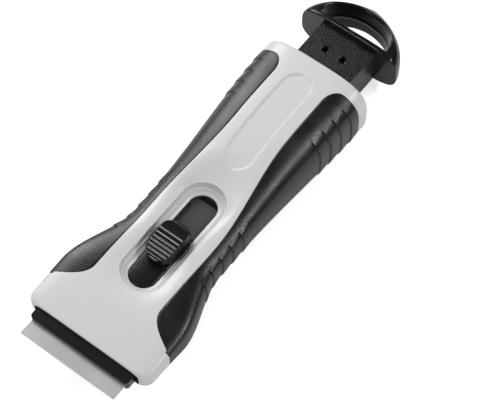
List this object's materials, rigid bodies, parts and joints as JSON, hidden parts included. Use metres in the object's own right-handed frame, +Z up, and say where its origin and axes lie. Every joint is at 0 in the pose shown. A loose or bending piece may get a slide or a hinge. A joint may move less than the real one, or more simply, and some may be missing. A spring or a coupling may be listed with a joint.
{
  "type": "ceramic hob scraper",
  "caption": "Hand scraper with a blade that slides out of its wide head, a ridged thumb button, soft side grips and a ring drawer in the handle that stores a box of spare blades.",
  "frame": {"origin": "middle of the whole scraper's plan, on the surface that it rests on", "axes": "+Y from the blade towards the ring along the handle, +X to the side of the right grip, +Z up, away from the surface that the handle rests on"},
  "size_m": [0.056, 0.188, 0.0289],
  "materials": {
    "housing": "light grey ABS, satin",
    "grip": "soft black elastomer, finely textured",
    "black_plastic": "black plastic, satin",
    "drawer_plastic": "black plastic, eroded texture",
    "ring_plastic": "black plastic, polished",
    "carriage": "dark grey plastic",
    "blade": "ground across the edge",
    "screws": "zinc plated",
    "spring": "spring wire"
  },
  "bodies": {
    "handle": {"top_shell": "housing", "bottom_shell": "housing", "left_grip": "grip", "right_grip": "grip", "housing_screws": "screws"},
    "carriage": {"carriage": "carriage", "lower_jaw": "black_plastic", "upper_jaw": "black_plastic", "jaw_screws": "screws", "blade": "blade", "button_spring": "spring"},
    "button": {"thumb_button": "black_plastic"},
    "drawer": {"drawer_case": "drawer_plastic", "drawer_floor": "drawer_plastic", "ring_handle": "ring_plastic", "blade_box": "ring_plastic", "spare_blade_1": "blade", "spare_blade_2": "blade", "spare_blade_3": "blade", "spare_blade_4": "blade", "spare_blade_5": "blade"}
  },
  "joints": [
    {"name": "blade_slide", "type": "slide", "parent": "handle", "child": "carriage", "axis": [0, 1, 0], "range_m": [0, 0.016]},
    {"name": "button_press", "type": "slide", "parent": "carriage", "child": "button", "axis": [0, 0, -1], "range_m": [0, 0.001], "stiffness_N_per_m": 800, "springref_m": -0.001, "deforming": ["button_spring"]},
    {"name": "drawer_slide", "type": "slide", "parent": "handle", "child": "drawer", "axis": [0, 1, 0], "range_m": [-0.0198, 0.0237]}
  ]
}
